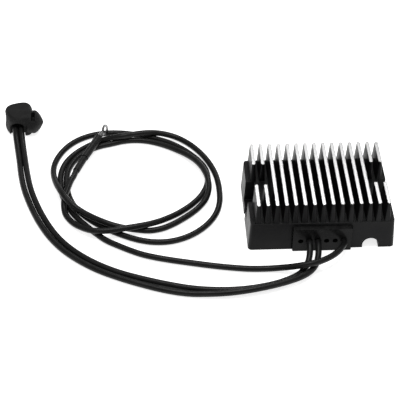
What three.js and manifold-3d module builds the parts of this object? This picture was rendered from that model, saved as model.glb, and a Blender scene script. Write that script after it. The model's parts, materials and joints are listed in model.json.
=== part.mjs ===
// Finned voltage regulator and rectifier with three free leads, millimetres, +Z up.
// It lies on its mounting face with the fins up. The origin is the middle of the housing's footprint,
// +X runs along the row of fins and the leads leave through the -Y face.
import * as THREE from "three";
import { mergeVertices } from "three/addons/utils/BufferGeometryUtils.js";
import Module from "manifold-3d";

const wasm = await Module();
wasm.setup();

// ---------------------------------------------------------------- driving dimensions
const GAP = 0.3; // clearance between pieces that touch
const WIDTH = 125; // housing along X at the fin roots
const DEPTH = 86.4; // housing along Y at the fin roots, without the lead guide
const FLARE_X = 1.45; // how much further each end wall stands out at its foot
const FLARE_Y = 1.1; // and the same for the front and back walls
const GUIDE_PROUD = 4.1; // how far the lead guide stands out of the front face at the fin roots
const ROOT_Z = 28.5; // fin roots and side ledges
const TOP_Z = 48.5; // fin tops

const FIN_COUNT = 15;
const FIN_PITCH = 8;
const FIN_TOP_WIDTH = 3;
const FIN_ROOT_WIDTH = 5.4;
const FIN_TOP_DEPTH = 84;
const FIN_ROOT_DEPTH = 85.8;
const FIN_TOP_CORNER = 1.4;
const FIN_ROOT_CORNER = 1.2;
const FOOT_CORNER = 3.4;
const SHOULDER_CORNER = 3;

const NOTCH_LENGTH = 27; // gap in the outer fins for a bolt head and a spanner
const STUB_CLEARANCE = 0.05; // between a stub's rounded end and the plane of the notch
const NOTCH_INNER_X = 44; // the two outer fins at each end are cut out to here
const RECESS_INNER_X = 54.5; // wall of the bolt recess in the base
const FLANGE_Z = 8; // thickness of the mounting flange at the foot of the recess
const BOLT_X = 59.5; // bolt axis
const BOLT_SLOT_WIDTH = 6.8;

const WALL = 6; // side walls round the electronics bay
const BAY_HALF_X = 50;
const BAY_CEILING_Z = 22;
const ARCH_X = 43; // arched notch low in the front face
const ARCH_RADIUS = 7;
const ARCH_SPRING_Z = 3.2;
const ARCH_DEPTH = 17;

const GUIDE_WIDTH = 52;
const GUIDE_HEIGHT = 25.6;
const GUIDE_FOOT_Z = 0.1;
const PORT_PITCH = 7.5;
const PORT_Z = 11.5;
const PORT_RADIUS = 3.05;
const BLIND_PORT_DEPTH = 6;
const BLIND_PORT_RADIUS = 2.3;

const LEAD_RADIUS = 2.75;
const LEAD_SIDES = 8;
const LEAD_STEP = 10;

const COIL_CENTRE = [-159.5, 44.5];
const COIL_INNER_RADIUS = 54;
const COIL_OUTER_RADIUS = 86;
const COIL_HEIGHT = 5.6;

const PLUG_CENTRE = [-269, 135];
const BOOT_HEIGHT = 22;
const HOOD = { x: -0.6, radius: 6.7, springZ: 9, depth: 6.5 }; // arched entry for the two leads
const LOBE = { turn: THREE.MathUtils.degToRad(-5), y: -3.6, z: 11.3 }; // lobe on the right of the boot
const SOCKET = { z: 11, y: 1, faceX: -11.6, endX: -1, radius: 6.4, spacing: 6 };

const FRONT_Y = -(DEPTH - GUIDE_PROUD + FLARE_Y) / 2;
const BACK_Y = FRONT_Y + DEPTH;
const MIDDLE_Y = (FRONT_Y + BACK_Y) / 2;
const GUIDE_FACE_Y = FRONT_Y - GUIDE_PROUD;
const BAY_FRONT_Y = FRONT_Y + WALL;
const BAY_BACK_Y = BACK_Y - WALL;

// ---------------------------------------------------------------- materials
function finish(color, roughness, metalness) {
  return new THREE.MeshStandardMaterial({ color, roughness, metalness });
}
const BLACK_COAT = finish(0x17171a, 0.38, 0.0);
const GUIDE_PLASTIC = finish(0x1a1a1c, 0.35, 0.0);
const LEAD_JACKET = finish(0x151516, 0.5, 0.0);
const RUBBER = finish(0x1d1d1e, 0.6, 0.0);
const SHRINK = finish(0x141414, 0.55, 0.0);
const TIN = finish(0xc8c8c4, 0.28, 1.0);
const COPPER = finish(0xb87348, 0.4, 1.0);
const BRASS = finish(0xb8934a, 0.35, 1.0);
const STEEL = finish(0x9a9a9c, 0.35, 1.0);
const EPOXY = finish(0x101012, 0.45, 0.0);
const BOARD_GREEN = finish(0x1d4a2c, 0.5, 0.0);
const PACKAGE_BLACK = finish(0x141414, 0.6, 0.0);
const MICA = finish(0xb9ad92, 0.6, 0.0);
const RESISTOR_TAN = finish(0xb59a70, 0.6, 0.0);
const NYLON = finish(0x2a2a2c, 0.5, 0.0);

// ---------------------------------------------------------------- solids
function toSolid(geometry) {
  const bare = geometry.clone();
  bare.deleteAttribute("normal");
  bare.deleteAttribute("uv");
  const merged = mergeVertices(bare, 1e-4);
  const vertProperties = new Float32Array(merged.attributes.position.array);
  const triVerts = new Uint32Array(merged.index.array);
  return new wasm.Manifold(new wasm.Mesh({ numProp: 3, vertProperties, triVerts }));
}

function toGeometry(solid) {
  const { vertProperties, triVerts } = solid.getMesh();
  const geometry = new THREE.BufferGeometry();
  geometry.setAttribute("position", new THREE.BufferAttribute(new Float32Array(vertProperties), 3));
  geometry.setIndex(new THREE.BufferAttribute(new Uint32Array(triVerts), 1));
  geometry.computeVertexNormals();
  return geometry;
}

function roundedRectangle(width, depth, radius, x = 0, y = 0, segments = 4) {
  const points = [];
  for (let corner = 0; corner < 4; corner++) {
    const sideX = corner === 0 || corner === 3 ? 1 : -1;
    const sideY = corner < 2 ? 1 : -1;
    for (let k = 0; k <= segments; k++) {
      const angle = (corner + k / segments) * (Math.PI / 2);
      points.push(
        new THREE.Vector2(
          x + sideX * (width / 2 - radius) + radius * Math.cos(angle),
          y + sideY * (depth / 2 - radius) + radius * Math.sin(angle),
        ),
      );
    }
  }
  return points;
}

// A closed solid between two outlines with the same number of points, at two heights.
function loft(lower, lowerZ, upper, upperZ) {
  const count = lower.length;
  const positions = [];
  lower.forEach((point) => positions.push(point.x, point.y, lowerZ));
  upper.forEach((point) => positions.push(point.x, point.y, upperZ));
  const index = [];
  for (let i = 0; i < count; i++) {
    const next = (i + 1) % count;
    index.push(i, next, count + next, i, count + next, count + i);
  }
  for (const [a, b, c] of THREE.ShapeUtils.triangulateShape(lower, [])) {
    index.push(c, b, a);
  }
  for (const [a, b, c] of THREE.ShapeUtils.triangulateShape(upper, [])) {
    index.push(count + a, count + b, count + c);
  }
  const geometry = new THREE.BufferGeometry();
  geometry.setAttribute("position", new THREE.Float32BufferAttribute(positions, 3));
  geometry.setIndex(index);
  geometry.computeVertexNormals();
  return geometry;
}

function block([x0, y0, z0], [x1, y1, z1]) {
  const geometry = new THREE.BoxGeometry(x1 - x0, y1 - y0, z1 - z0);
  return geometry.translate((x0 + x1) / 2, (y0 + y1) / 2, (z0 + z1) / 2);
}

function rodZ(radius, z0, z1, x = 0, y = 0, sides = 24) {
  const geometry = new THREE.CylinderGeometry(radius, radius, z1 - z0, sides);
  return geometry.rotateX(Math.PI / 2).translate(x, y, (z0 + z1) / 2);
}

function rodY(radius, y0, y1, x = 0, z = 0, sides = 24) {
  return new THREE.CylinderGeometry(radius, radius, y1 - y0, sides).translate(x, (y0 + y1) / 2, z);
}

function rodX(radius, x0, x1, y = 0, z = 0, sides = 24) {
  const geometry = new THREE.CylinderGeometry(radius, radius, x1 - x0, sides);
  return geometry.rotateZ(-Math.PI / 2).translate((x0 + x1) / 2, y, z);
}

function tubeAlong(points, radius, sides, step) {
  const places = points.map(([x, y, z]) => new THREE.Vector3(x, y, z));
  const extrudePath = new THREE.CatmullRomCurve3(places, false, "centripetal");
  const section = new THREE.Shape();
  section.absarc(0, 0, radius, 0, 2 * Math.PI, false);
  const steps = Math.round(extrudePath.getLength() / step);
  const settings = { steps, curveSegments: sides, bevelEnabled: false, extrudePath };
  return new THREE.ExtrudeGeometry(section, settings);
}

function addMesh(parent, name, geometry, material) {
  const mesh = new THREE.Mesh(geometry, material);
  mesh.name = name;
  parent.add(mesh);
  return mesh;
}

// ---------------------------------------------------------------- housing
function finCentres() {
  const centres = [];
  for (let k = 0; k < FIN_COUNT; k++) {
    centres.push((k - (FIN_COUNT - 1) / 2) * FIN_PITCH);
  }
  return centres;
}

// A fin on the given middle line. Side 0 is a whole one; -1 and 1 are the stubs on either side of a notch.
function fin(x, side) {
  const outline = (width, depth, radius) => {
    const inner = side === 0 ? -depth / 2 : NOTCH_LENGTH / 2 + STUB_CLEARANCE;
    const length = depth / 2 - inner;
    const middle = side * (inner + length / 2);
    return roundedRectangle(width, length, radius, x, MIDDLE_Y + middle);
  };
  const root = outline(FIN_ROOT_WIDTH, FIN_ROOT_DEPTH, FIN_ROOT_CORNER);
  const tip = outline(FIN_TOP_WIDTH, FIN_TOP_DEPTH, FIN_TOP_CORNER);
  return toSolid(loft(root, ROOT_Z - 0.5, tip, TOP_Z));
}

function finnedBody() {
  const foot = roundedRectangle(WIDTH + 2 * FLARE_X, DEPTH + 2 * FLARE_Y, FOOT_CORNER, 0, MIDDLE_Y);
  const shoulder = roundedRectangle(WIDTH, DEPTH, SHOULDER_CORNER, 0, MIDDLE_Y);
  let body = toSolid(loft(foot, 0, shoulder, ROOT_Z));
  for (const x of finCentres()) {
    const sides = Math.abs(x) > NOTCH_INNER_X ? [-1, 1] : [0];
    for (const side of sides) {
      body = body.add(fin(x, side));
    }
  }
  return body;
}

// Everything taken away round one mounting bolt: side is -1 for the -X end and 1 for the +X end.
function boltAccess(side) {
  const outside = side * (WIDTH / 2 + 8);
  const halfLength = NOTCH_LENGTH / 2;
  const span = (inner, z0, z1, half) => {
    const low = [Math.min(inner, outside), MIDDLE_Y - half, z0];
    const high = [Math.max(inner, outside), MIDDLE_Y + half, z1];
    return toSolid(block(low, high));
  };
  const notch = span(side * NOTCH_INNER_X, ROOT_Z, TOP_Z + 5, halfLength);
  const recess = span(side * RECESS_INNER_X, FLANGE_Z, ROOT_Z + 1, halfLength);
  const slot = span(side * BOLT_X, -1, FLANGE_Z + 1, BOLT_SLOT_WIDTH / 2);
  const slotEnd = toSolid(rodZ(BOLT_SLOT_WIDTH / 2, -1, FLANGE_Z + 1, side * BOLT_X, MIDDLE_Y));
  return notch.add(recess).add(slot).add(slotEnd);
}

// The open bay for the electronics, with its front corner kept solid behind the arched notch.
function bayOutline(inset) {
  const cornerX = ARCH_X - ARCH_RADIUS - 4 - inset;
  const cornerY = FRONT_Y + ARCH_DEPTH + 4 + inset;
  const side = BAY_HALF_X - inset;
  return [
    new THREE.Vector2(-side, BAY_FRONT_Y + inset),
    new THREE.Vector2(cornerX, BAY_FRONT_Y + inset),
    new THREE.Vector2(cornerX, cornerY),
    new THREE.Vector2(side, cornerY),
    new THREE.Vector2(side, BAY_BACK_Y - inset),
    new THREE.Vector2(-side, BAY_BACK_Y - inset),
  ];
}

function archedNotch() {
  const shape = new THREE.Shape();
  shape.moveTo(-ARCH_RADIUS, -1);
  shape.lineTo(ARCH_RADIUS, -1);
  shape.lineTo(ARCH_RADIUS, ARCH_SPRING_Z);
  shape.absarc(0, ARCH_SPRING_Z, ARCH_RADIUS, 0, Math.PI, false);
  const depth = ARCH_DEPTH + FLARE_Y + 1; // out past the foot, which stands in front of the wall above it
  const geometry = new THREE.ExtrudeGeometry(shape, { depth, curveSegments: 20, bevelEnabled: false });
  return geometry.rotateX(Math.PI / 2).translate(ARCH_X, FRONT_Y + ARCH_DEPTH, 0);
}

const WINDOW = { halfX: 22.6, lowZ: 5, highZ: 19 };
const STRAP_SCREW = { x: -42, y: 30, radius: 1.5 };
const SCREW_HOLE_DEPTH = 3.5;

function makeHousing() {
  let body = finnedBody();
  body = body.subtract(boltAccess(-1)).subtract(boltAccess(1));
  body = body.subtract(toSolid(loft(bayOutline(0), -1, bayOutline(0), BAY_CEILING_Z)));
  body = body.subtract(toSolid(archedNotch())).subtract(guideSeat());
  const low = [-WINDOW.halfX, FRONT_Y - 2, WINDOW.lowZ];
  const high = [WINDOW.halfX, BAY_FRONT_Y + 1, WINDOW.highZ];
  body = body.subtract(toSolid(block(low, high)));
  const { x, y, radius } = STRAP_SCREW;
  const screwHole = rodZ(radius + GAP, BAY_CEILING_Z - 1, BAY_CEILING_Z + SCREW_HOLE_DEPTH, x, y);
  return toGeometry(body.subtract(toSolid(screwHole)));
}

// ---------------------------------------------------------------- lead guide in the front face
const portX = (port) => (port - 3.5) * PORT_PITCH; // ports are numbered 1 to 6 from -X
const LEADS = { lead_a: 2, lead_b: 3, lead_c: 6 };

function guideOutline(growth) {
  const middleZ = GUIDE_FOOT_Z + GUIDE_HEIGHT / 2;
  return roundedRectangle(GUIDE_WIDTH + 2 * growth, GUIDE_HEIGHT + 2 * growth, 1.2 + growth, 0, middleZ);
}

// The flat seat of the lead guide, cut into the leaning front wall of the housing.
function guideSeat() {
  const outline = guideOutline(GAP);
  return toSolid(loft(outline, 0, outline, FLARE_Y + 1).rotateX(Math.PI / 2).translate(0, FRONT_Y, 0));
}

function makeLeadGuide() {
  const backY = FRONT_Y - GAP;
  // The plate is lofted along Z and then turned so that its height stands up and its face looks along -Y.
  const middleZ = GUIDE_FOOT_Z + GUIDE_HEIGHT / 2;
  const faceOutline = roundedRectangle(GUIDE_WIDTH - 0.8, GUIDE_HEIGHT - 1, 1, 0, middleZ - 0.4);
  const plate = loft(guideOutline(0), 0, faceOutline, GUIDE_PROUD - GAP);
  plate.rotateX(Math.PI / 2).translate(0, backY, 0);
  const neckLow = [-WINDOW.halfX + GAP, backY - 0.5, WINDOW.lowZ + GAP];
  const neckHigh = [WINDOW.halfX - GAP, BAY_FRONT_Y, WINDOW.highZ - GAP];
  let guide = toSolid(plate).add(toSolid(block(neckLow, neckHigh)));
  for (let port = 1; port <= 6; port++) {
    const used = Object.values(LEADS).includes(port);
    const endY = used ? BAY_FRONT_Y + 3 : GUIDE_FACE_Y + BLIND_PORT_DEPTH;
    const radius = used ? PORT_RADIUS : BLIND_PORT_RADIUS;
    guide = guide.subtract(toSolid(rodY(radius, GUIDE_FACE_Y - 1, endY, portX(port), PORT_Z)));
  }
  return toGeometry(guide);
}

// ---------------------------------------------------------------- free leads
const PORT_EXIT_Y = GUIDE_FACE_Y - GAP;
const LEAD_A_ROUTE = [
  [portX(2), PORT_EXIT_Y, PORT_Z], [-11.3, -49.8, 11.2], [-11.6, -55.4, 9.22], [-12.6, -60.7, 6.56],
  [-14.9, -66.9, 4.22], [-18.6, -72.7, 3.1], [-24.2, -78.3, 2.85], [-31.9, -83, 2.85], [-42.9, -87.7, 2.85],
  [-56.4, -91.3, 2.85], [-70.2, -93.5, 2.85], [-85.2, -94.2, 2.85], [-101.1, -93.3, 2.85],
  [-116.9, -90.8, 2.85], [-133.3, -86.3, 2.85], [-154.1, -79.1, 2.85], [-175.3, -70.2, 2.85],
  [-192.4, -60.3, 2.85], [-207.3, -48.7, 2.85], [-219.2, -36.6, 2.85], [-228.3, -24.5, 2.85],
  [-235.3, -12.2, 2.85], [-243.1, 5.3, 2.85], [-250.1, 25.2, 2.85], [-255.1, 43.7, 2.85],
  [-258.6, 63.5, 2.85], [-261.3, 83.3, 2.85], [-263.8, 102.2, 4], [-265.7, 117.1, 7],
  [-266.8, 127, 9.4],
];
const LEAD_B_ROUTE = [
  [portX(3), PORT_EXIT_Y, PORT_Z], [-3.8, -49.8, 11.2], [-4.2, -55.6, 9.65], [-5.1, -61.3, 7.74],
  [-7.2, -67.7, 5.96], [-10.7, -73.7, 5.29], [-15.4, -78.8, 5.3], [-22.6, -84.1, 5.86],
  [-31.6, -88.6, 6.27], [-42.9, -92.6, 6.35], [-56.5, -96.2, 6.27], [-70.2, -98.6, 5.77],
  [-85.1, -99.7, 4.84], [-101.1, -99.1, 3.73], [-117, -97.6, 2.97], [-133.6, -93.8, 2.85],
  [-154.4, -86.2, 2.85], [-177, -75.8, 2.85], [-195.1, -65.5, 2.85], [-211.5, -52.8, 2.85],
  [-224.1, -40, 2.85], [-233.6, -27.1, 2.85], [-241, -14, 2.85], [-248.7, 3.5, 2.85], [-255.6, 23.4, 2.85],
  [-260.9, 42.8, 2.85], [-264.4, 62.5, 2.85], [-267.2, 83.4, 2.85], [-269.6, 101.2, 4],
  [-271.4, 116, 7], [-272.8, 126.8, 9.4],
];
const LEAD_C_ROUTE = [
  [portX(6), PORT_EXIT_Y, PORT_Z], [18.7, -49.2, 11.5], [16.5, -53.7, 11.6], [13.6, -57.8, 11.5],
  [8.8, -62.8, 11.4], [4.8, -65.9, 11.4], [-0.3, -69, 11.4], [-4.8, -71.2, 11.4], [-9.5, -72.9, 11.4],
  [-14.4, -73.8, 11.1], [-22.1, -73.6, 9.27], [-29.6, -72.2, 6.73], [-38.2, -70.6, 4.44],
  [-48, -69.8, 3.05], [-64, -69.3, 2.85], [-80.8, -67.1, 2.85], [-97.5, -64, 2.85], [-115.1, -60, 2.85],
  [-131.6, -56, 2.85], [-145.1, -52.1, 2.85], [-156.3, -47.9, 2.85], [-166, -42.8, 2.85],
  [-175.4, -37, 2.85],
];

// The last of lead C leaves the coil on its inside and climbs onto it, into the sleeve.
const LEAD_C_END_ROUTE = [
  [-227.5, 8, 2.85], [-225.6, 14.5, 4.6], [-223, 22, 7.2], [-220.6, 30.5, 8.9], [-218.3, 41, 9.1],
  [-215.9, 51, 9.2], [-214, 57.4, 9.3],
];

function coilRing(growth) {
  const inner = COIL_INNER_RADIUS - growth;
  const outer = COIL_OUTER_RADIUS + growth;
  const foot = 0.1 - growth;
  const crown = COIL_HEIGHT + growth;
  const soft = 2;
  const profile = [
    [inner, foot], [outer, foot], [outer, crown - soft], [outer - soft, crown], [inner + soft, crown],
    [inner, crown - soft], [inner, foot],
  ].map(([radius, height]) => new THREE.Vector2(radius, height));
  const ring = new THREE.LatheGeometry(profile, 48);
  return ring.rotateX(Math.PI / 2).translate(COIL_CENTRE[0], COIL_CENTRE[1], 0);
}

function addLeads(parent) {
  addMesh(parent, "lead_a", tubeAlong(LEAD_A_ROUTE, LEAD_RADIUS, LEAD_SIDES, LEAD_STEP), LEAD_JACKET);
  addMesh(parent, "lead_b", tubeAlong(LEAD_B_ROUTE, LEAD_RADIUS, LEAD_SIDES, LEAD_STEP), LEAD_JACKET);
  const run = toSolid(tubeAlong(LEAD_C_ROUTE, LEAD_RADIUS, LEAD_SIDES, LEAD_STEP));
  addMesh(parent, "lead_c", toGeometry(run.subtract(toSolid(coilRing(GAP)))), LEAD_JACKET);
  addMesh(parent, "lead_c_coil", coilRing(0), LEAD_JACKET);
  const tail = toSolid(tubeAlong(LEAD_C_END_ROUTE, LEAD_RADIUS, LEAD_SIDES, LEAD_STEP / 2));
  addMesh(parent, "lead_c_end", toGeometry(tail.subtract(toSolid(coilRing(GAP)))), LEAD_JACKET);
}

// ---------------------------------------------------------------- ring terminal on lead C
const SLEEVE_START = new THREE.Vector3(-213.7, 58.3, 9.3);
const CUFF_START = new THREE.Vector3(-206.4, 76.4, 9.7);
const CUFF_END = new THREE.Vector3(-193.2, 106.1, 9.7);
const SLEEVE_RADIUS = 3.2;
const CUFF_RADIUS = 3.7;
const SLEEVE_JOINT = 0.6; // room between the sleeve and the cuff, which meet at a slight angle
const TERMINAL_TIP = new THREE.Vector3(-184.9, 121.3, 10.8);
const TERMINAL_ROLL = THREE.MathUtils.degToRad(78);
const TERMINAL = { barrelRadius: 2.4, barrelLength: 6, ringRadius: 4.8, holeRadius: 2.7, thickness: 1.1 };

// A group whose +X axis runs from one point to another, turned by roll about that axis.
function aimedGroup(from, to, roll) {
  const group = new THREE.Group();
  const along = to.clone().sub(from).normalize();
  const side = new THREE.Vector3(0, 0, 1).cross(along).normalize();
  const up = along.clone().cross(side);
  group.position.copy(from);
  group.quaternion.setFromRotationMatrix(new THREE.Matrix4().makeBasis(along, side, up));
  group.rotateX(roll);
  return group;
}

function addLeadEnd(parent) {
  const sleeve = aimedGroup(SLEEVE_START, CUFF_START, 0);
  parent.add(sleeve);
  const sleeveLength = SLEEVE_START.distanceTo(CUFF_START) - SLEEVE_JOINT;
  addMesh(sleeve, "shrink_sleeve", rodX(SLEEVE_RADIUS, 0, sleeveLength, 0, 0, 16), SHRINK);
  const cuff = aimedGroup(CUFF_START, CUFF_END, 0);
  parent.add(cuff);
  addMesh(cuff, "shrink_cuff", rodX(CUFF_RADIUS, 0, CUFF_START.distanceTo(CUFF_END), 0, 0, 16), SHRINK);

  const terminal = aimedGroup(CUFF_END, TERMINAL_TIP, TERMINAL_ROLL);
  parent.add(terminal);
  const reach = CUFF_END.distanceTo(TERMINAL_TIP);
  const ringX = reach - TERMINAL.ringRadius;
  const half = TERMINAL.thickness / 2;
  const barrel = toSolid(rodX(TERMINAL.barrelRadius, 1, 1 + TERMINAL.barrelLength, 0, 0, 16));
  const tongue = toSolid(block([TERMINAL.barrelLength - 1, -2.2, -half], [ringX, 2.2, half]));
  const eye = toSolid(rodZ(TERMINAL.ringRadius, -half, half, ringX, 0, 32));
  const hole = toSolid(rodZ(TERMINAL.holeRadius, -half - 1, half + 1, ringX, 0, 32));
  addMesh(terminal, "ring_terminal", toGeometry(barrel.add(tongue).add(eye).subtract(hole)), TIN);
}

// ---------------------------------------------------------------- two-pole plug on leads A and B
// Plan of the boot: nearly straight along its front and its right side, drawn in towards the left.
const BOOT_PLAN = [
  [-5.5, -13], [6, -13.5], [12, -11.5], [13.3, -4], [13.3, 6], [11.8, 11.5],
  [7.5, 15], [-3, 13.6], [-10, 10.3], [-12.8, 5.5], [-12.3, -1.5], [-9.3, -9],
];

function bootOutline(scale) {
  const corners = BOOT_PLAN.map(([x, y]) => new THREE.Vector3(x * scale, y * scale, 0));
  const curve = new THREE.CatmullRomCurve3(corners, true, "centripetal");
  return curve.getPoints(48).slice(0, 48).map((point) => new THREE.Vector2(point.x, point.y));
}

function bootBlock() {
  const levels = [
    [0, 0.9],
    [2.5, 1],
    [BOOT_HEIGHT - 4.5, 0.98],
    [BOOT_HEIGHT - 1.5, 0.9],
    [BOOT_HEIGHT, 0.76],
  ];
  let solid = null;
  for (let k = 1; k < levels.length; k++) {
    const [lowZ, lowScale] = levels[k - 1];
    const [highZ, highScale] = levels[k];
    const slice = toSolid(loft(bootOutline(lowScale), lowZ, bootOutline(highScale), highZ));
    solid = solid === null ? slice : solid.add(slice);
  }
  return solid;
}

// The rounded lobe on the right of the boot, turned about X: distance along X and radius.
const LOBE_PROFILE = [
  [9, 0], [9, 10.7], [12.7, 10.7], [13.1, 10.3], [13.5, 10.9], [15.3, 11.1], [17.2, 10.2],
  [18.8, 8.8], [20.2, 7.1], [21.4, 5.3], [22.7, 2.9], [23.5, 1.2], [23.8, 0],
];
const LOBE_POCKET = { low: [12.8, -13, 15.5], high: [16, -4, 26] };

function lobe() {
  const outline = LOBE_PROFILE.map(([x, reach]) => new THREE.Vector2(reach, x));
  const dome = new THREE.LatheGeometry(outline, 40).rotateZ(-Math.PI / 2);
  const solid = toSolid(dome.rotateZ(LOBE.turn).translate(0, LOBE.y, LOBE.z));
  return solid.subtract(toSolid(block(LOBE_POCKET.low, LOBE_POCKET.high)));
}

function hoodCut(front) {
  const arch = new THREE.Shape();
  arch.moveTo(-HOOD.radius, -1);
  arch.lineTo(HOOD.radius, -1);
  arch.lineTo(HOOD.radius, HOOD.springZ);
  arch.absarc(0, HOOD.springZ, HOOD.radius, 0, Math.PI, false);
  const depth = HOOD.depth + 1;
  const cut = new THREE.ExtrudeGeometry(arch, { depth, curveSegments: 16, bevelEnabled: false });
  return toSolid(cut.rotateX(Math.PI / 2).translate(HOOD.x, front + HOOD.depth, 0));
}

function addPlug(parent) {
  const plug = new THREE.Group();
  plug.position.set(PLUG_CENTRE[0], PLUG_CENTRE[1], 0);
  parent.add(plug);

  const front = -13.5;
  const bore = rodX(SOCKET.radius + GAP, SOCKET.faceX - 5, SOCKET.endX + GAP, SOCKET.y, SOCKET.z, 32);
  const shell = bootBlock().add(lobe()).subtract(hoodCut(front)).subtract(toSolid(bore));
  addMesh(plug, "plug_boot", toGeometry(shell), RUBBER);

  let insert = toSolid(rodX(SOCKET.radius, SOCKET.faceX, SOCKET.endX, SOCKET.y, SOCKET.z, 32));
  for (const side of [-1, 1]) {
    const y = SOCKET.y + (side * SOCKET.spacing) / 2;
    insert = insert.subtract(toSolid(rodX(2.3, SOCKET.faceX - 1, SOCKET.endX - 1, y, SOCKET.z, 20)));
    const sleeve = toSolid(rodX(2, SOCKET.faceX + 1, SOCKET.endX - 1 - GAP, y, SOCKET.z, 20));
    const pinHole = toSolid(rodX(1.25, SOCKET.faceX, SOCKET.endX - 3, y, SOCKET.z, 20));
    const name = side < 0 ? "contact_socket_a" : "contact_socket_b";
    addMesh(plug, name, toGeometry(sleeve.subtract(pinHole)), BRASS);
  }
  addMesh(plug, "plug_insert", toGeometry(insert), NYLON);
}

// ---------------------------------------------------------------- electronics under the ceiling of the bay
const FILM = { z0: 21.1, z1: 21.7 };
const SPREADER = { z0: 18.8, z1: 20.8, x0: -36, x1: 36, y0: -17, y1: 8 };
const DEVICE = { z0: 14.2, z1: 18.5, width: 10.2, length: 15.4 };
const BOARD = { z0: 10.9, z1: 12.5, x0: -38, x1: 38, y0: 10, y1: 36 };
const COMPOUND = { z0: 1.5, z1: 8.2 };
const TAIL_END_Y = -24;

function addPowerDevices(parent) {
  const rows = ["thyristor_a", "thyristor_b", "diode_a", "diode_b"];
  rows.forEach((name, k) => {
    const x = (k - 1.5) * 17;
    const y0 = -14;
    const half = DEVICE.width / 2;
    const body = block([x - half, y0, DEVICE.z0], [x + half, y0 + DEVICE.length, DEVICE.z1]);
    let device = toSolid(body);
    for (const pin of [-1, 0, 1]) {
      const pinX = x + pin * 2.54;
      const low = [pinX - 0.4, y0 + DEVICE.length - 0.5, DEVICE.z0 + 0.6];
      const high = [pinX + 0.4, BOARD.y0 + 4, DEVICE.z0 + 1.1];
      device = device.add(toSolid(block(low, high)));
    }
    addMesh(parent, name, toGeometry(device), PACKAGE_BLACK);
  });
}

function addBoardParts(parent) {
  const seat = BOARD.z1 + GAP;
  const board = block([BOARD.x0, BOARD.y0, BOARD.z0], [BOARD.x1, BOARD.y1, BOARD.z1]);
  addMesh(parent, "circuit_board", board, BOARD_GREEN);
  for (let k = 0; k < 3; k++) {
    const y = 20 + k * 5;
    addMesh(parent, `gate_resistor_${k + 1}`, rodX(1.3, -14, -7, y, seat + 1.3, 16), RESISTOR_TAN);
  }
  addMesh(parent, "zener_diode", rodX(1.4, -30, -23, 24, seat + 1.4, 16), PACKAGE_BLACK);
  addMesh(parent, "sense_capacitor", rodZ(3.4, seat, seat + 5.6, 26, 27, 20), PACKAGE_BLACK);
  for (const [name, x] of [["driver_transistor_a", 2], ["driver_transistor_b", 12]]) {
    const flat = [new THREE.Vector2(-2.3, -1.6), new THREE.Vector2(2.3, -1.6)];
    for (let k = 0; k <= 8; k++) {
      const angle = (k / 8) * Math.PI;
      flat.push(new THREE.Vector2(2.3 * Math.cos(angle), 2.3 * Math.sin(angle)));
    }
    addMesh(parent, name, loft(flat, seat, flat, seat + 4.6).translate(x, 26, 0), PACKAGE_BLACK);
  }
}

function addTails(parent) {
  for (const [name, port] of Object.entries(LEADS)) {
    const x = portX(port);
    const tail = rodY(LEAD_RADIUS, GUIDE_FACE_Y, TAIL_END_Y, x, PORT_Z, 16);
    addMesh(parent, `${name}_tail`, tail, LEAD_JACKET);
    const lug = block([x - 2, TAIL_END_Y + GAP, PORT_Z - 0.5], [x + 2, BOARD.y0 - GAP, PORT_Z + 0.5]);
    addMesh(parent, `${name}_lug`, lug, COPPER);
  }
}

function addElectronics(parent) {
  const { x0, x1, y0, y1 } = SPREADER;
  addMesh(parent, "insulating_film", block([x0 - 2, y0 - 2, FILM.z0], [x1 + 2, y1 + 2, FILM.z1]), MICA);
  addMesh(parent, "heat_spreader", block([x0, y0, SPREADER.z0], [x1, y1, SPREADER.z1]), COPPER);
  addPowerDevices(parent);
  addBoardParts(parent);
  addTails(parent);

  const screw = STRAP_SCREW;
  const shank = toSolid(rodZ(screw.radius, BAY_CEILING_Z - 3, BAY_CEILING_Z + 3, screw.x, screw.y));
  const head = toSolid(rodZ(2.8, BAY_CEILING_Z - 4.6, BAY_CEILING_Z - 1.1, screw.x, screw.y));
  addMesh(parent, "ground_screw", toGeometry(shank.add(head)), STEEL);
  const strapLow = [screw.x - 3, screw.y - 8, BAY_CEILING_Z - 0.8];
  const strapHigh = [screw.x + 3, screw.y + 3.6, BAY_CEILING_Z - GAP];
  const strap = toSolid(block(strapLow, strapHigh));
  const holeRadius = screw.radius + GAP;
  const strapHole = toSolid(rodZ(holeRadius, BAY_CEILING_Z - 2, BAY_CEILING_Z + 1, screw.x, screw.y));
  addMesh(parent, "ground_strap", toGeometry(strap.subtract(strapHole)), COPPER);

  const compound = loft(bayOutline(GAP), COMPOUND.z0, bayOutline(GAP), COMPOUND.z1);
  addMesh(parent, "potting_compound", compound, EPOXY);
}

// ---------------------------------------------------------------- the whole part
const regulator = new THREE.Group();
addMesh(regulator, "housing", makeHousing(), BLACK_COAT);
addMesh(regulator, "lead_guide", makeLeadGuide(), GUIDE_PLASTIC);
addElectronics(regulator);
addLeads(regulator);
addLeadEnd(regulator);
addPlug(regulator);

export default regulator;
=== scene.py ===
"""A finned regulator and rectifier lying on a white table, with its three free leads.

Two leads run to a two-pole plug; the third lies in a loose coil and ends in a ring terminal.
"""
import json
import math

import bpy
from mathutils import Matrix, Vector


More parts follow.
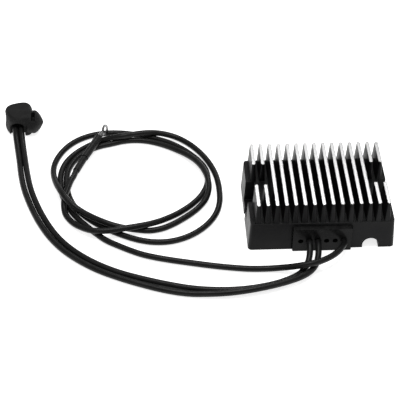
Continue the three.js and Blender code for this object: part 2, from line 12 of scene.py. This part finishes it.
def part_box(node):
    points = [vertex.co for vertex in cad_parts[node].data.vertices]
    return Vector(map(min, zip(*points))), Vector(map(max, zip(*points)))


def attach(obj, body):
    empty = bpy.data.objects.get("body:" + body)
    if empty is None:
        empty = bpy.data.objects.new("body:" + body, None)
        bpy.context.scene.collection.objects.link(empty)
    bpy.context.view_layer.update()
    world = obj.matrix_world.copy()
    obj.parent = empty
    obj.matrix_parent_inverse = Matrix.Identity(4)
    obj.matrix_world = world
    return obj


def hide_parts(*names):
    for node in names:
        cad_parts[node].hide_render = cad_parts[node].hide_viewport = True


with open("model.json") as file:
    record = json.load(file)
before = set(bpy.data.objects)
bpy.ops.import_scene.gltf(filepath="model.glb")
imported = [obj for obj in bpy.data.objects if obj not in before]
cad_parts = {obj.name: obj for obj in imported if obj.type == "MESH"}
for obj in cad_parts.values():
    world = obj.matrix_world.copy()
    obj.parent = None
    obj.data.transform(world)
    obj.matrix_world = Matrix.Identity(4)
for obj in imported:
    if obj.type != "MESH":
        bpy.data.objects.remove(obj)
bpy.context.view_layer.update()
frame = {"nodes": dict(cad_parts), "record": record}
scene = bpy.context.scene
MM = 0.001


# ---------------------------------------------------------------- camera
CAMERA_PLACE = (-0.16715, -0.9651, 0.86485)
CAMERA_RIGHT = Vector((0.99851, -0.05223, 0.01531))
CAMERA_UP = Vector((0.02280, 0.65692, 0.75361))
LENS_MM = 131.1
SENSOR_WIDTH_MM = 36.0
FARTHEST_SEEN = 20.0


def make_camera():
    data = bpy.data.cameras.new("camera")
    data.lens = LENS_MM
    data.sensor_width = SENSOR_WIDTH_MM
    data.clip_end = FARTHEST_SEEN
    camera = bpy.data.objects.new("camera", data)
    turn = Matrix((CAMERA_RIGHT, CAMERA_UP, CAMERA_RIGHT.cross(CAMERA_UP))).transposed()
    camera.matrix_world = Matrix.Translation(CAMERA_PLACE) @ turn.to_4x4()
    scene.collection.objects.link(camera)
    scene.camera = camera


make_camera()


# ---------------------------------------------------------------- leads
LEAD_DIAMETER = 0.0055
TUBE_SIDES = 18
STEPS_PER_SPAN = 8  # rings of a tube from one route point to the next

# Centre lines in mm; a point without a height lies on the table.
REST_Z = 2.85
LEAD_A_ROUTE = [
    (-11.25, -46.1, 11.5), (-11.3, -49.8, 11.2), (-11.6, -55.4, 9.22), (-12.6, -60.7, 6.56),
    (-14.9, -66.9, 4.22), (-18.6, -72.7, 3.1), (-24.2, -78.3), (-31.9, -83), (-42.9, -87.7),
    (-56.4, -91.3), (-70.2, -93.5), (-85.2, -94.2), (-101.1, -93.3), (-116.9, -90.8),
    (-133.3, -86.3), (-154.1, -79.1), (-175.3, -70.2), (-192.4, -60.3), (-207.3, -48.7),
    (-219.2, -36.6), (-228.3, -24.5), (-235.3, -12.2), (-243.1, 5.3), (-250.1, 25.2),
    (-255.1, 43.7), (-258.6, 63.5), (-261.3, 83.3), (-263.8, 102.2, 4), (-265.7, 117.1, 7),
    (-266.8, 127, 9.4),
]
LEAD_B_ROUTE = [
    (-3.75, -46.1, 11.5), (-3.8, -49.8, 11.2), (-4.2, -55.6, 9.65), (-5.1, -61.3, 7.74),
    (-7.2, -67.7, 5.96), (-10.7, -73.7, 5.29), (-15.4, -78.8, 5.3), (-22.6, -84.1, 5.86),
    (-31.6, -88.6, 6.27), (-42.9, -92.6, 6.35), (-56.5, -96.2, 6.27), (-70.2, -98.6, 5.77),
    (-85.1, -99.7, 4.84), (-101.1, -99.1, 3.73), (-117, -97.6, 2.97), (-133.6, -93.8),
    (-154.4, -86.2), (-177, -75.8), (-195.1, -65.5), (-211.5, -52.8), (-224.1, -40),
    (-233.6, -27.1), (-241, -14), (-248.7, 3.5), (-255.6, 23.4), (-260.9, 42.8), (-264.3, 62.5),
    (-266.75, 83.4), (-269.15, 101.2, 4), (-271.05, 116, 7), (-272.2, 126.8, 9.4),
]
LEAD_C_START = [
    (18.75, -46.1, 11.5), (18.7, -49.2, 11.5), (16.5, -53.7, 11.6), (13.6, -57.8, 11.5),
    (8.8, -62.8, 11.4), (4.8, -65.9, 11.4), (-0.3, -69, 11.4), (-4.8, -71.2, 11.4),
    (-9.5, -72.9, 11.4), (-14.4, -73.8, 11.1), (-22.1, -73.6, 9.27), (-29.6, -72.2, 6.73),
    (-38.2, -70.6, 4.44), (-48, -69.8, 3.05), (-64, -69.3), (-80.8, -67.1), (-97.5, -64),
    (-115.1, -60), (-131.6, -56), (-145.1, -52.1), (-156.3, -47.9), (-166, -42.8),
    (-175.4, -37), (-187, -29),
]
# From the end of the coil into the shrink sleeve and on inside it to the barrel of the terminal.
LEAD_C_END = [
    (-215.9, 51, 9.2), (-213.7, 58.3, 9.3), (-210.05, 67.35, 9.5), (-206.4, 76.4, 9.7),
    (-199.8, 91.25, 9.7), (-194.5, 103.2, 9.7),
]

# The loose coil of lead C runs clockwise from its lower left: its radius about the centre in mm
# at every step of the angle in degrees.
COIL_CENTRE = (-159.5, 44.5)
COIL_FIRST_ANGLE = -120
COIL_STEP = 10
COIL_RADII = [
    73.6, 70.3, 68.6, 67.6, 67.4, 67.6, 68.3, 69.8, 71.4, 72.4, 72.5, 72.2, 71.7, 68.1, 64.8,
    66.5, 69.5, 74.3, 77.7, 77.2, 75.7, 74.6, 74.1, 74.3, 75, 76.6, 79.3, 81.8, 83.3, 83.9,
    83.6, 81.9, 78.4, 73.7, 69, 65.6, 63.5, 62.3, 61.9, 61.9, 61.9, 62.1, 62.8, 64.1, 65.7,
    66.7, 67.1, 66.8, 65.5, 64, 64.5, 64.7, 64.2, 63.3, 62.4, 61.7, 61.7, 62.2, 62.9, 64, 65.4,
    66.7, 66.5, 64.9, 63.5, 62.8, 63.2, 63.8, 63.2, 61.3, 61.6, 63.1, 63, 62.9, 64.3, 67.4,
    69.5, 70.7, 72.7, 76, 79.8, 82.7, 84.6, 85.3, 84.1, 81.2, 77.3, 73.5, 70.7, 68.9, 67.9,
    67.1, 66.7, 67, 67.4, 66.8, 65.1, 62.5, 59.9, 57.5, 55.9, 55.4, 56, 57.8, 60.2, 62.8, 66.1,
    71.6, 76.5, 76.4, 75.6, 73.7, 68.5, 62.5, 58.9,
]
# Heights in mm where the coil lies on itself, by the place in COIL_RADII where each hump starts;
# elsewhere it lies on the table.
COIL_LIFTS = {
    12: (3.4, 6.6, 9.1, 8.9, 8.7, 6.4, 3.6),
    54: (3.1, 3.9, 5.2, 6.6, 7.8, 8.5, 8.5, 6.8, 4.3, 3.1),
    69: (3.3, 5.2, 7.8, 8.7, 8.5, 9.1, 11.7, 13.8, 12.1, 9, 5.9, 3.6),
    99: (3, 3.4, 4.1, 5.2, 6.6, 8, 8.8, 8.8, 8.6, 7.9, 5.2, 3.4, 4.1, 8.4, 9, 9),
}


def catmull_rom(points):
    """Points on the centripetal Catmull-Rom spline through the given ones."""
    knots = [Vector(p) for p in points]
    knots = [2 * knots[0] - knots[1]] + knots + [2 * knots[-1] - knots[-2]]
    line = []
    for p0, p1, p2, p3 in zip(knots, knots[1:], knots[2:], knots[3:]):
        t1 = math.sqrt((p1 - p0).length)
        t2 = t1 + math.sqrt((p2 - p1).length)
        t3 = t2 + math.sqrt((p3 - p2).length)
        for k in range(STEPS_PER_SPAN):
            t = t1 + (t2 - t1) * k / STEPS_PER_SPAN
            a1 = p0.lerp(p1, t / t1)
            a2 = p1.lerp(p2, (t - t1) / (t2 - t1))
            a3 = p2.lerp(p3, (t - t2) / (t3 - t2))
            b1 = a1.lerp(a2, t / t2)
            b2 = a2.lerp(a3, (t - t1) / (t3 - t1))
            line.append(b1.lerp(b2, (t - t1) / (t2 - t1)))
    line.append(Vector(knots[-2]))
    return line


def coil_route():
    heights = [REST_Z] * len(COIL_RADII)
    for first, lift in COIL_LIFTS.items():
        heights[first:first + len(lift)] = lift
    points = []
    for k, (radius, height) in enumerate(zip(COIL_RADII, heights)):
        angle = math.radians(COIL_FIRST_ANGLE - COIL_STEP * k)
        x = COIL_CENTRE[0] + radius * math.cos(angle)
        y = COIL_CENTRE[1] + radius * math.sin(angle)
        points.append((x, y, height))
    return points


def tube_mesh(name, line, radius):
    """A closed tube round the line, its rings turned as little as possible from one to the next."""
    side = Vector((0, 0, 1))
    last = len(line) - 1
    places = []
    for k, centre in enumerate(line):
        along = (line[min(k + 1, last)] - line[max(k - 1, 0)]).normalized()
        side = (side - side.dot(along) * along).normalized()
        other = along.cross(side)
        for j in range(TUBE_SIDES):
            turn = math.tau * j / TUBE_SIDES
            places.append(centre + radius * (math.cos(turn) * side + math.sin(turn) * other))
    faces = []
    for here in range(0, last * TUBE_SIDES, TUBE_SIDES):
        ahead = here + TUBE_SIDES
        for j in range(TUBE_SIDES):
            beside = (j + 1) % TUBE_SIDES
            faces.append((here + j, here + beside, ahead + beside, ahead + j))
    faces.append(tuple(reversed(range(TUBE_SIDES))))
    faces.append(tuple(last * TUBE_SIDES + j for j in range(TUBE_SIDES)))
    mesh = bpy.data.meshes.new(name)
    mesh.from_pydata(places, [], faces)
    for polygon in mesh.polygons:
        polygon.use_smooth = len(polygon.vertices) == 4
    return mesh


def make_lead(name, route):
    """The jacket of one lead, and its centre line in metres."""
    points = [p if len(p) == 3 else (*p, REST_Z) for p in route]
    line = [place * MM for place in catmull_rom(points)]
    lead = bpy.data.objects.new(name, tube_mesh(name, line, LEAD_DIAMETER / 2))
    scene.collection.objects.link(lead)
    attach(lead, "root")
    return lead, [tuple(place) for place in line]


BOOT_VOXEL = 0.0005
ROUNDING_FACTOR = 0.5
ROUNDING_PASSES = 6


def make_boot():
    """A copy of the plug's CAD boot with its edges rounded off, which stands in for it."""
    node = frame["nodes"]["plug_boot"]
    soft = bpy.data.objects.new("plug_boot_rubber", node.data.copy())
    soft.matrix_world = node.matrix_world.copy()
    scene.collection.objects.link(soft)
    remesh = soft.modifiers.new("skin", "REMESH")
    remesh.mode = "VOXEL"
    remesh.voxel_size = BOOT_VOXEL
    remesh.use_smooth_shade = True
    smooth = soft.modifiers.new("rounding", "SMOOTH")
    smooth.factor = ROUNDING_FACTOR
    smooth.iterations = ROUNDING_PASSES
    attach(soft, "root")
    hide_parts("plug_boot")
    return soft


lead_a, line_a = make_lead("lead_a_jacket", LEAD_A_ROUTE)
lead_b, line_b = make_lead("lead_b_jacket", LEAD_B_ROUTE)
lead_c, line_c = make_lead("lead_c_jacket", LEAD_C_START + coil_route() + LEAD_C_END)
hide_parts("lead_a")
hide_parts("lead_b")
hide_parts("lead_c", "lead_c_coil", "lead_c_end")
boot = make_boot()


# ---------------------------------------------------------------- materials
def new_material(name):
    material = bpy.data.materials.new(name)
    material.use_nodes = True
    tree = material.node_tree
    return material, tree.nodes, tree.links, tree.nodes["Principled BSDF"]


def noise(nodes, links, place, scale, detail):
    texture = nodes.new("ShaderNodeTexNoise")
    texture.inputs["Scale"].default_value = scale
    texture.inputs["Detail"].default_value = detail
    links.new(place, texture.inputs["Vector"])
    return texture.outputs["Fac"]


def ramp(nodes, links, value, ends, colours):
    """A ramp from one grey or colour to the other while the value goes from end to end."""
    node = nodes.new("ShaderNodeValToRGB")
    for element, position, colour in zip(node.color_ramp.elements, ends, colours):
        rgb = colour if isinstance(colour, tuple) else (colour, colour, colour)
        element.position = position
        element.color = (*rgb, 1)
    links.new(value, node.inputs["Fac"])
    return node.outputs["Color"]


def bump(nodes, links, height, depth, normal=None):
    node = nodes.new("ShaderNodeBump")
    node.inputs["Strength"].default_value = 1.0
    node.inputs["Distance"].default_value = depth
    links.new(height, node.inputs["Height"])
    if normal is not None:
        links.new(normal, node.inputs["Normal"])
    return node.outputs["Normal"]


CLOUD_DETAIL = 4.0
PATCH_DETAIL = 3.0
PATCH_ENDS = (0.3, 0.7)
GRAIN_DETAIL = 2.0


def clouded(name, colours, cloud_scale, cloud_ends, glosses, patch_scale, grain_scale, depth):
    """A material with cloudy colour, uneven gloss and a fine grain; scales in waves per metre."""
    material, nodes, links, shader = new_material(name)
    place = nodes.new("ShaderNodeTexCoord").outputs["Object"]
    cloud = noise(nodes, links, place, cloud_scale, CLOUD_DETAIL)
    patch = noise(nodes, links, place, patch_scale, PATCH_DETAIL)
    fine = noise(nodes, links, place, grain_scale, GRAIN_DETAIL)
    links.new(ramp(nodes, links, cloud, cloud_ends, colours), shader.inputs["Base Color"])
    links.new(ramp(nodes, links, patch, PATCH_ENDS, glosses), shader.inputs["Roughness"])
    links.new(bump(nodes, links, fine, depth), shader.inputs["Normal"])
    return material, shader


def moulded(name, dark, light, roughness, grain_scale, depth, specular=0.5):
    """Moulded plastic or rubber."""
    material, shader = clouded(
        name, (dark, light), cloud_scale=90.0, cloud_ends=(0.35, 0.65),
        glosses=(roughness - 0.06, roughness + 0.08), patch_scale=220.0,
        grain_scale=grain_scale, depth=depth,
    )
    shader.inputs["Specular IOR Level"].default_value = specular
    return material


def metal(name, dark, light, roughness):
    """Bare or plated metal."""
    material, shader = clouded(
        name, (dark, light), cloud_scale=160.0, cloud_ends=(0.3, 0.7),
        glosses=(roughness - 0.07, roughness + 0.1), patch_scale=420.0,
        grain_scale=900.0, depth=0.00003,
    )
    shader.inputs["Metallic"].default_value = 1.0
    return material


# The coated casting. Lengths and depths are in metres, scales in waves per metre, and ends are
# the values between which a ramp runs.
EDGE_RADIUS = 0.0007
EDGE_SAMPLES = 6
COAT_CLOUD_SCALE = 60.0
COAT_CLOUD_DETAIL = 5.0
COAT_CLOUD_ENDS = (0.35, 0.7)
COAT_COLOURS = ((0.004, 0.004, 0.0043), (0.007, 0.007, 0.0074))
COAT_PATCH_SCALE = 140.0
COAT_PATCH_DETAIL = 4.0
COAT_GLOSSES = (0.34, 0.46)
COAT_SPECULAR = 0.1
# painted edge highlight: the grey below is added to the coat's colour along sharp edges, lightest
# at the edge
EDGE_HIGHLIGHT_ENDS = (0.86, 0.985)  # from a sharp edge to a flat face
EDGE_HIGHLIGHT_GREYS = (0.05, 0.0)
EDGE_HIGHLIGHT_SHARE = 0.5
PEEL_SCALE = 700.0  # the orange-peel skin of the coat
PEEL_DEPTH = 0.00006
MILLING_SCALES = (3000.0, 40.0, 1.0)  # fine lines that run along the fins
MILLING_DETAIL = 4.0
MILLING_GREY_ENDS = (0.25, 0.75)
MILLING_GREYS = (0.43, 0.48)
MILLING_GLOSS_ENDS = (0.2, 0.8)
MILLING_GLOSSES = (0.26, 0.31)
MILLING_DEPTH = 0.000005
BARE_THICKNESS = 0.00016
BARE_ABOVE_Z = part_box("housing")[1][2] - BARE_THICKNESS


def edge_mask(nodes, links):
    """A value of 1 on flat faces that falls off at sharp edges, and the normal rounded there."""
    rounded = nodes.new("ShaderNodeBevel")
    rounded.samples = EDGE_SAMPLES
    rounded.inputs["Radius"].default_value = EDGE_RADIUS
    true_normal = nodes.new("ShaderNodeNewGeometry")
    dot = nodes.new("ShaderNodeVectorMath")
    dot.operation = "DOT_PRODUCT"
    links.new(rounded.outputs["Normal"], dot.inputs[0])
    links.new(true_normal.outputs["Normal"], dot.inputs[1])
    return dot.outputs["Value"], rounded.outputs["Normal"]


def dress_coat(nodes, links, place, rounded, flat, coat):
    """The black coat, with a painted highlight: a lighter grey along its sharp edges."""
    cloud = noise(nodes, links, place, COAT_CLOUD_SCALE, COAT_CLOUD_DETAIL)
    patch = noise(nodes, links, place, COAT_PATCH_SCALE, COAT_PATCH_DETAIL)
    peel = noise(nodes, links, place, PEEL_SCALE, GRAIN_DETAIL)
    mix = nodes.new("ShaderNodeMix")
    mix.data_type = "RGBA"
    mix.blend_type = "ADD"
    mix.inputs["Factor"].default_value = EDGE_HIGHLIGHT_SHARE
    links.new(ramp(nodes, links, cloud, COAT_CLOUD_ENDS, COAT_COLOURS), mix.inputs["A"])
    # painted edge highlight: lighter grey added towards sharp edges
    links.new(ramp(nodes, links, flat, EDGE_HIGHLIGHT_ENDS, EDGE_HIGHLIGHT_GREYS), mix.inputs["B"])
    links.new(mix.outputs["Result"], coat.inputs["Base Color"])
    links.new(ramp(nodes, links, patch, PATCH_ENDS, COAT_GLOSSES), coat.inputs["Roughness"])
    links.new(bump(nodes, links, peel, PEEL_DEPTH, rounded), coat.inputs["Normal"])
    coat.inputs["Specular IOR Level"].default_value = COAT_SPECULAR


def dress_bare(nodes, links, place, rounded, bare):
    """The milled metal of the fin tops."""
    stretch = nodes.new("ShaderNodeMapping")
    stretch.inputs["Scale"].default_value = MILLING_SCALES
    links.new(place, stretch.inputs["Vector"])
    lines = noise(nodes, links, stretch.outputs["Vector"], 1.0, MILLING_DETAIL)
    grey = ramp(nodes, links, lines, MILLING_GREY_ENDS, MILLING_GREYS)
    gloss = ramp(nodes, links, lines, MILLING_GLOSS_ENDS, MILLING_GLOSSES)
    links.new(grey, bare.inputs["Base Color"])
    links.new(gloss, bare.inputs["Roughness"])
    links.new(bump(nodes, links, lines, MILLING_DEPTH, rounded), bare.inputs["Normal"])
    bare.inputs["Metallic"].default_value = 1.0


def coated_casting():
    """Black coated die casting whose fin tops are machined bare."""
    material, nodes, links, coat = new_material("black_coat_on_casting")
    place = nodes.new("ShaderNodeTexCoord").outputs["Object"]
    flat, rounded = edge_mask(nodes, links)
    bare = nodes.new("ShaderNodeBsdfPrincipled")
    dress_coat(nodes, links, place, rounded, flat, coat)
    dress_bare(nodes, links, place, rounded, bare)

    axes = nodes.new("ShaderNodeSeparateXYZ")
    links.new(place, axes.inputs["Vector"])
    above = nodes.new("ShaderNodeMath")
    above.operation = "GREATER_THAN"
    above.inputs[1].default_value = BARE_ABOVE_Z
    links.new(axes.outputs["Z"], above.inputs[0])
    both = nodes.new("ShaderNodeMixShader")
    links.new(above.outputs["Value"], both.inputs["Fac"])
    links.new(coat.outputs["BSDF"], both.inputs[1])
    links.new(bare.outputs["BSDF"], both.inputs[2])
    links.new(both.outputs["Shader"], nodes["Material Output"].inputs["Surface"])
    return material


BOARD_GREENS = (0.02, 0.09, 0.035), (0.035, 0.14, 0.055)
BRASSES = (0.6, 0.42, 0.18), (0.76, 0.56, 0.27)
COPPERS = (0.62, 0.3, 0.18), (0.78, 0.42, 0.27)
MICAS = (0.42, 0.37, 0.27), (0.56, 0.49, 0.36)
LACQUERS = (0.42, 0.29, 0.16), (0.56, 0.42, 0.25)

# Each has a name, a darker and a lighter colour and a roughness. A moulded one also has the scale
# and depth of its grain and, where it isn't the usual one, its specular level.
BY_SLOT = {
    "black_coat": coated_casting(),
    "guide_plastic": moulded("guide_gloss", 0.004, 0.007, 0.24, 1200.0, 0.00002, 0.1),
    "lead_jacket": moulded("lead_jacket_satin", 0.006, 0.010, 0.34, 1500.0, 0.00002, 0.16),
    "boot_rubber": moulded("boot_rubber_matte", 0.009, 0.014, 0.6, 2200.0, 0.00004, 0.14),
    "shrink_tube": moulded("shrink_tube_satin", 0.007, 0.011, 0.45, 1100.0, 0.00006, 0.16),
    "tinned": metal("tinned_bright", 0.16, 0.26, 0.2),
    "copper": metal("copper_bare", *COPPERS, 0.36),
    "brass": metal("brass_turned", *BRASSES, 0.3),
    "steel": metal("zinc_steel", 0.45, 0.62, 0.34),
    "epoxy": moulded("epoxy_cast", 0.006, 0.011, 0.2, 160.0, 0.0002),
    "board": moulded("board_mask", *BOARD_GREENS, 0.4, 900.0, 0.00002),
    "package": moulded("package_mould", 0.009, 0.016, 0.55, 1600.0, 0.00003),
    "film": moulded("film_mineral", *MICAS, 0.5, 500.0, 0.00002),
    "resistor": moulded("resistor_lacquer", *LACQUERS, 0.4, 800.0, 0.00002),
    "nylon": moulded("insert_nylon", 0.022, 0.034, 0.45, 1300.0, 0.00002),
}


def dress(piece, slot):
    piece.data.materials.clear()
    piece.data.materials.append(BY_SLOT[slot])


for part in frame["record"]["subparts"]:
    dress(frame["nodes"][part["node"]], part["material_slot"])
for lead in (lead_a, lead_b, lead_c):
    dress(lead, "lead_jacket")
dress(boot, "boot_rubber")


# ---------------------------------------------------------------- table, lights and sky
TABLE_HALF = 3.0
TABLE_PLACE = (0, 0.5, -0.0001)  # a hair below the pieces that lie on it
TABLE_GREY = 0.9
TABLE_ROUGHNESS = 0.9
TABLE_GLOW = 0.75
SKY_GLOW = 0.4
WHITE = (1, 1, 1, 1)

# Where each soft light is, what it faces, its width and height, and its power in watts.
LIGHTS = {
    "overhead": ((-0.1, 0.0, 1.3), (-0.1, 0.05, 0), (0.7, 0.5), 9.0),
    "back_softbox": ((0.1, 0.9, 1.08), (-0.02, 0.02, 0.03), (0.5, 0.26), 3.3),
}


def make_table():
    data = bpy.data.meshes.new("table_top")
    corners = [(-1, -1), (1, -1), (1, 1), (-1, 1)]
    places = [(TABLE_HALF * x, TABLE_HALF * y, 0) for x, y in corners]
    data.from_pydata(places, [], [(0, 1, 2, 3)])
    table = bpy.data.objects.new("table_top", data)
    table.location = TABLE_PLACE
    scene.collection.objects.link(table)
    material, _, _, shader = new_material("table_white")
    shader.inputs["Base Color"].default_value = (TABLE_GREY, TABLE_GREY, TABLE_GREY, 1)
    shader.inputs["Roughness"].default_value = TABLE_ROUGHNESS
    shader.inputs["Specular IOR Level"].default_value = 0.0
    shader.inputs["Emission Color"].default_value = WHITE
    shader.inputs["Emission Strength"].default_value = TABLE_GLOW
    data.materials.append(material)


def area_light(name, place, target, size, power):
    data = bpy.data.lights.new(name, "AREA")
    data.shape = "RECTANGLE"
    data.size, data.size_y = size
    data.energy = power
    light = bpy.data.objects.new(name, data)
    light.location = place
    facing = Vector(target) - Vector(place)
    light.rotation_euler = facing.to_track_quat("-Z", "Y").to_euler()
    scene.collection.objects.link(light)


def make_sky():
    world = bpy.data.worlds.new("studio")
    scene.world = world
    world.use_nodes = True
    sky = world.node_tree.nodes["Background"]
    sky.inputs["Color"].default_value = WHITE
    sky.inputs["Strength"].default_value = SKY_GLOW


make_table()
make_sky()
for name, facts in LIGHTS.items():
    area_light(name, *facts)
scene.view_settings.view_transform = "Standard"

bpy.context.view_layer.update()
